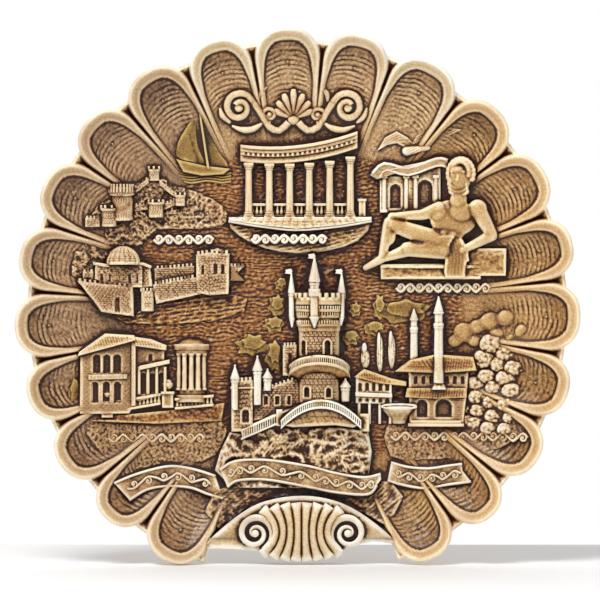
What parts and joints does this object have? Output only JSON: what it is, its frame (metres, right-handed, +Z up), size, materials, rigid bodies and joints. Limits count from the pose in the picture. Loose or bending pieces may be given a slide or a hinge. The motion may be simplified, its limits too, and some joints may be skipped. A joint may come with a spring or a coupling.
{
  "type": "souvenir wall plate",
  "caption": "Scalloped, shell-shaped wall plate with landmarks in antique bronze relief, flat back and a wire hanging loop.",
  "frame": {"origin": "centre of the flat disc on the plate's back that lies against the wall", "axes": "+Z up as it hangs, +X to the viewer's right, -Y out of the plate's face towards the viewer"},
  "size_m": [0.2226, 0.0264, 0.2123],
  "materials": {
    "bronzed_plaster": "cast plaster, bronze paint, dark wash in the recesses, dry-brushed highlights, clear lacquer",
    "loop_wire": "plain soft iron wire, dull",
    "bare_plaster": "hand-set gypsum plaster, matt"
  },
  "bodies": {
    "root": {"arch_pavilion": "bronzed_plaster", "caption_colonnade": "bronzed_plaster", "caption_hill": "bronzed_plaster", "caption_palace": "bronzed_plaster", "caption_reclining": "bronzed_plaster", "caption_villa": "bronzed_plaster", "castle_gate_wing": "bronzed_plaster", "castle_keep": "bronzed_plaster", "castle_ramp": "bronzed_plaster", "castle_terrace": "bronzed_plaster", "castle_turrets": "bronzed_plaster", "cliff": "bronzed_plaster", "clouds": "bronzed_plaster", "colonnade": "bronzed_plaster", "colonnade_terrace": "bronzed_plaster", "domed_fortress": "bronzed_plaster", "foliage": "bronzed_plaster", "fort_walls": "bronzed_plaster", "fountain_bowl": "bronzed_plaster", "hanging_loop": "loop_wire", "hill": "bronzed_plaster", "hill_fort": "bronzed_plaster", "leafy_tree": "bronzed_plaster", "loop_plaster": "bare_plaster", "minarets": "bronzed_plaster", "palace": "bronzed_plaster", "palace_gallery": "bronzed_plaster", "plate_body": "bronzed_plaster", "plinth": "bronzed_plaster", "poplars": "bronzed_plaster", "reclining_figure": "bronzed_plaster", "ribbon_centre": "bronzed_plaster", "ribbon_left": "bronzed_plaster", "ribbon_right": "bronzed_plaster", "rim_lobes": "bronzed_plaster", "sailboat": "bronzed_plaster", "seagull": "bronzed_plaster", "shell_hinge": "bronzed_plaster", "terrace_wall": "bronzed_plaster", "title_flourish": "bronzed_plaster", "villa": "bronzed_plaster", "villa_balustrade": "bronzed_plaster", "villa_rotunda": "bronzed_plaster"}
  },
  "joints": []
}
